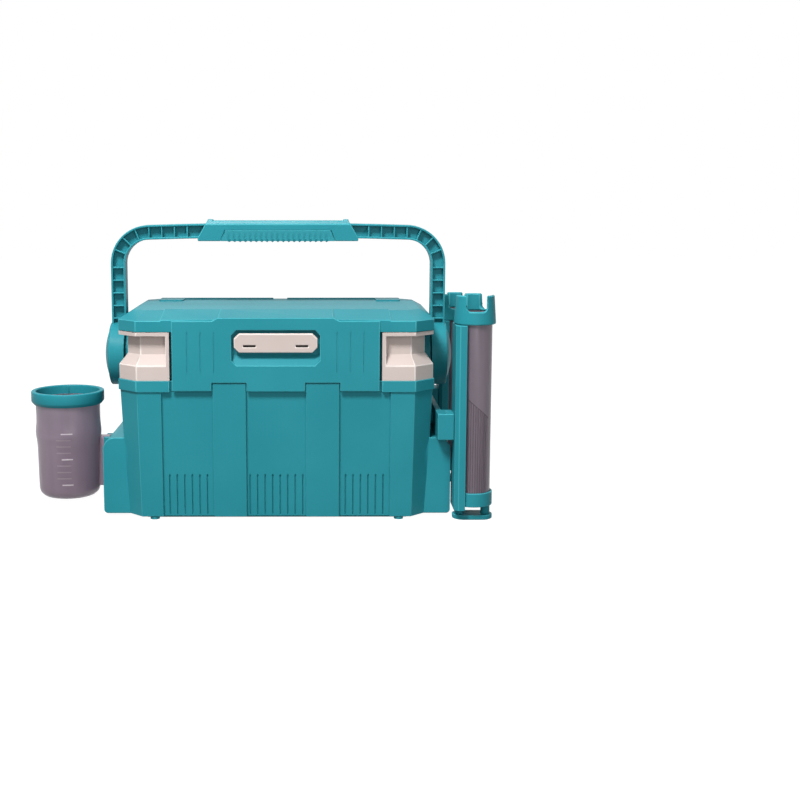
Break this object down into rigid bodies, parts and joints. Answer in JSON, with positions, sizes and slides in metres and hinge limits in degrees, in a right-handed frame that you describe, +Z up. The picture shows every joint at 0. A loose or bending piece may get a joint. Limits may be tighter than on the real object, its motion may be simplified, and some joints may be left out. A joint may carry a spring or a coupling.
{
  "type": "tackle box",
  "caption": "Moulded fishing tackle box with a hinged seat lid, flip latch, fold-down carrying handle, side rail with clear rod tubes and a lift-off bait cup.",
  "frame": {"origin": "on the ground under the middle of the tub, in the plane of the base ring's underside", "axes": "+X to the right seen from the front, -Y towards the front with the latch, +Z up"},
  "size_m": [0.6175, 0.27, 0.3836],
  "materials": {
    "teal_plastic": "satin moulded polypropylene with a fine grain",
    "teal_rubber": "soft matte grip rubber",
    "cream_plastic": "off-white moulded plastic",
    "smoke_plastic": "translucent smoky moulded plastic",
    "foot_rubber": "black rubber",
    "bush_plastic": "black bearing plastic",
    "steel": "zinc-plated steel"
  },
  "bodies": {
    "box": {"tub": "teal_plastic", "feet": "teal_rubber", "corner_panel_front_left": "cream_plastic", "corner_panel_front_right": "cream_plastic", "corner_panel_rear_left": "cream_plastic", "corner_panel_rear_right": "cream_plastic", "hinge_pins": "steel", "pivot_screw_left": "steel", "pivot_screw_right": "steel", "side_rail": "teal_plastic", "rail_screws": "steel", "cup_bracket": "teal_plastic", "cup_screws": "steel"},
    "lid": {"lid": "teal_plastic", "lid_seal": "foot_rubber", "latch_pin": "steel"},
    "latch": {"latch_plate": "cream_plastic"},
    "handle_carrier": {"pivot_bush_left": "bush_plastic", "pivot_bush_right": "bush_plastic"},
    "handle": {"handle_frame": "teal_plastic", "grip_shell": "teal_plastic", "grip_pad": "teal_rubber", "grip_screws": "steel", "pivot_cap_left": "teal_plastic", "pivot_cap_right": "teal_plastic"},
    "rod_holder_front": {"rod_bracket_front": "teal_plastic", "rod_tube_front": "smoke_plastic", "rod_collar_front": "teal_plastic", "rod_base_ring_front": "teal_plastic", "rod_foot_front": "teal_plastic"},
    "rod_holder_rear": {"rod_bracket_rear": "teal_plastic", "rod_tube_rear": "smoke_plastic", "rod_collar_rear": "teal_plastic", "rod_base_ring_rear": "teal_plastic", "rod_foot_rear": "teal_plastic"},
    "cup": {"cup": "smoke_plastic", "cup_ring": "teal_plastic"}
  },
  "joints": [
    {"name": "lid_hinge", "type": "hinge", "parent": "box", "child": "lid", "pos_m": [0, 0.12, 0.2445], "axis": [-1, 0, 0], "range_deg": [0, 95]},
    {"name": "latch_flip", "type": "hinge", "parent": "lid", "child": "latch", "pos_m": [0, -0.1235, 0.2375], "axis": [-1, 0, 0], "range_deg": [0, 55]},
    {"name": "handle_carry", "type": "hinge", "parent": "box", "child": "handle_carrier", "pos_m": [0, 0.006, 0.2015], "axis": [-1, 0, 0], "range_deg": [0, 95]},
    {"name": "handle_fold", "type": "hinge", "parent": "handle_carrier", "child": "handle", "pos_m": [0, 0.006, 0.2015], "axis": [1, 0, 0], "range_deg": [-95, 100]},
    {"name": "rod_front_lift", "type": "slide", "parent": "box", "child": "rod_holder_front", "axis": [0, 0, 1], "range_m": [0, 0.03]},
    {"name": "rod_rear_lift", "type": "slide", "parent": "box", "child": "rod_holder_rear", "axis": [0, 0, 1], "range_m": [0, 0.03]},
    {"name": "cup_lift", "type": "slide", "parent": "box", "child": "cup", "axis": [0, 0, 1], "range_m": [0, 0.06]}
  ],
  "couplings": [
    {"joint": "handle_carry", "follows": "lid_hinge", "ratio": 1}
  ]
}
